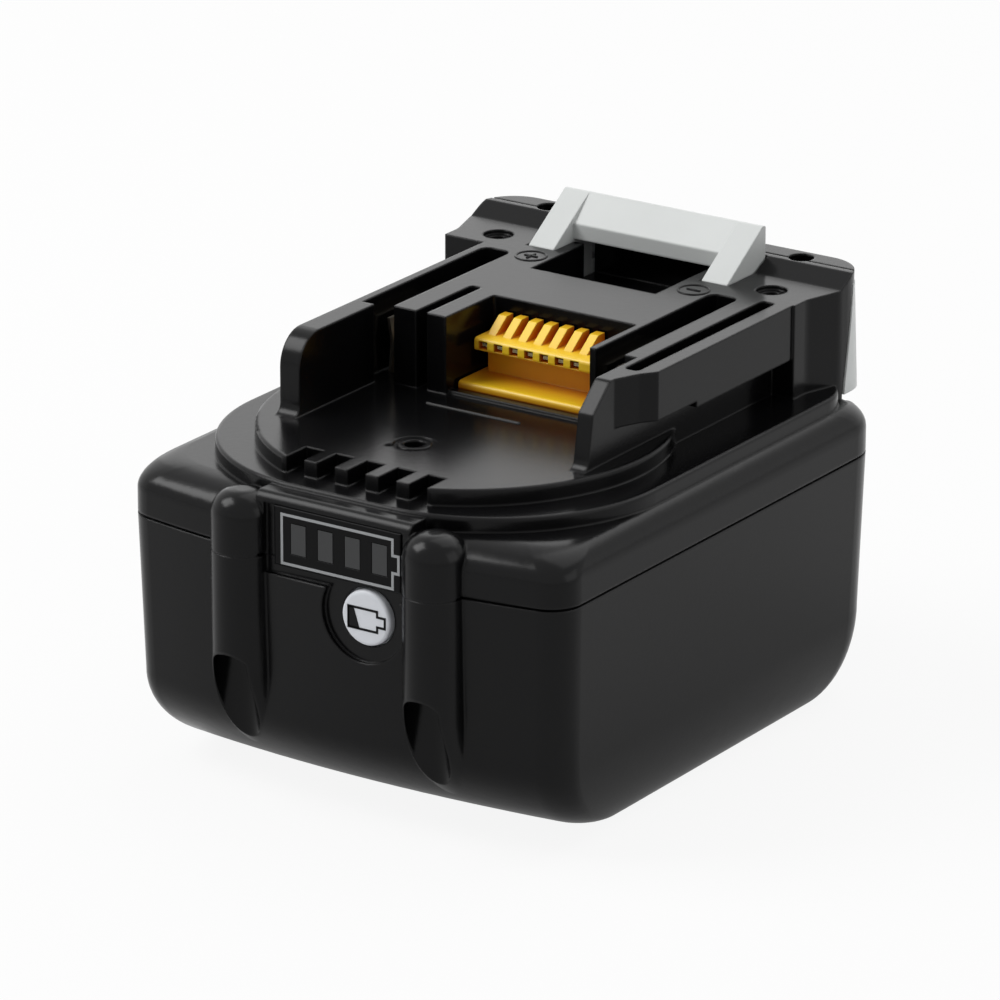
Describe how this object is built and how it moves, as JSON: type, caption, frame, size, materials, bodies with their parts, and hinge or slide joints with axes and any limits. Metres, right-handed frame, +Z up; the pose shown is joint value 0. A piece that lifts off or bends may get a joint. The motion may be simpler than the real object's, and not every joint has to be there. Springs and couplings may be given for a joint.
{
  "type": "power tool battery pack",
  "caption": "Slide-on battery pack for a cordless tool, with rails, terminal channels, a signal connector, a charge gauge with a check button, and a sprung release latch.",
  "frame": {"origin": "middle of the overall width and length, on the surface that the pack stands on", "axes": "+X across the width, to the right when the charge gauge is looked at; +Y along the pack, from the charge gauge to the release panel; +Z up, from the flat bottom to the rails"},
  "size_m": [0.075, 0.097, 0.0686],
  "materials": {
    "case_black": "satin",
    "gauge_black": "semi-gloss",
    "window_smoke": "gloss",
    "button_white": "satin",
    "part_black": "matte",
    "plunger_white": "satin",
    "board_green": "satin",
    "led_white": "gloss",
    "cable_grey": "satin",
    "latch_grey": "satin",
    "spring_steel": "bright",
    "connector_yellow": "semi-gloss",
    "contact_brass": "bright",
    "terminal_metal": "satin",
    "fuse_white": "matte",
    "ring_white": "matte",
    "frame_black": "matte",
    "strip_nickel": "satin",
    "sheet_grey": "matte",
    "foam_grey": "matte",
    "screw_steel": "satin",
    "cell_sleeve": "satin"
  },
  "bodies": {
    "pack": {"lower_case": "case_black", "upper_case": "case_black", "gauge_panel": "gauge_black", "gauge_windows": "window_smoke", "switch_body": "part_black", "gauge_board": "board_green", "gauge_leds": "led_white", "gauge_cable": "cable_grey", "latch_spring_left": "spring_steel", "latch_spring_right": "spring_steel", "connector_block": "connector_yellow", "signal_contacts": "contact_brass", "terminal_positive": "terminal_metal", "terminal_negative": "terminal_metal", "main_board": "board_green", "board_chips": "part_black", "board_fuse": "fuse_white", "thermistor": "part_black", "cell_insulator_rings": "ring_white", "cell_frame_left": "frame_black", "cell_frame_right": "frame_black", "bus_positive": "strip_nickel", "bus_negative": "strip_nickel", "bus_mid_1": "strip_nickel", "bus_mid_2": "strip_nickel", "bus_mid_3": "strip_nickel", "insulator_sheet_left": "sheet_grey", "insulator_sheet_right": "sheet_grey", "foam_pads": "foam_grey", "case_screws": "screw_steel", "board_screws": "screw_steel", "cell_1": "cell_sleeve", "cell_2": "cell_sleeve", "cell_3": "cell_sleeve", "cell_4": "cell_sleeve", "cell_5": "cell_sleeve", "cell_6": "cell_sleeve", "cell_7": "cell_sleeve", "cell_8": "cell_sleeve"},
    "latch": {"release_latch": "latch_grey"},
    "button": {"check_button": "button_white"},
    "plunger": {"switch_plunger": "plunger_white"}
  },
  "joints": [
    {"name": "latch_slide", "type": "slide", "parent": "pack", "child": "latch", "axis": [0, 0, -1], "range_m": [0, 0.0063], "stiffness_N_per_m": 1500, "springref_m": -0.004, "deforming": ["latch_spring_left", "latch_spring_right"]},
    {"name": "check_button_press", "type": "slide", "parent": "pack", "child": "button", "axis": [0, 1, 0], "range_m": [0, 0.0004], "stiffness_N_per_m": 2000, "springref_m": -0.0004},
    {"name": "switch_plunger_press", "type": "slide", "parent": "pack", "child": "plunger", "axis": [0, 1, 0], "range_m": [0, 0.0004]}
  ],
  "couplings": [
    {"joint": "switch_plunger_press", "follows": "check_button_press", "ratio": 1}
  ]
}
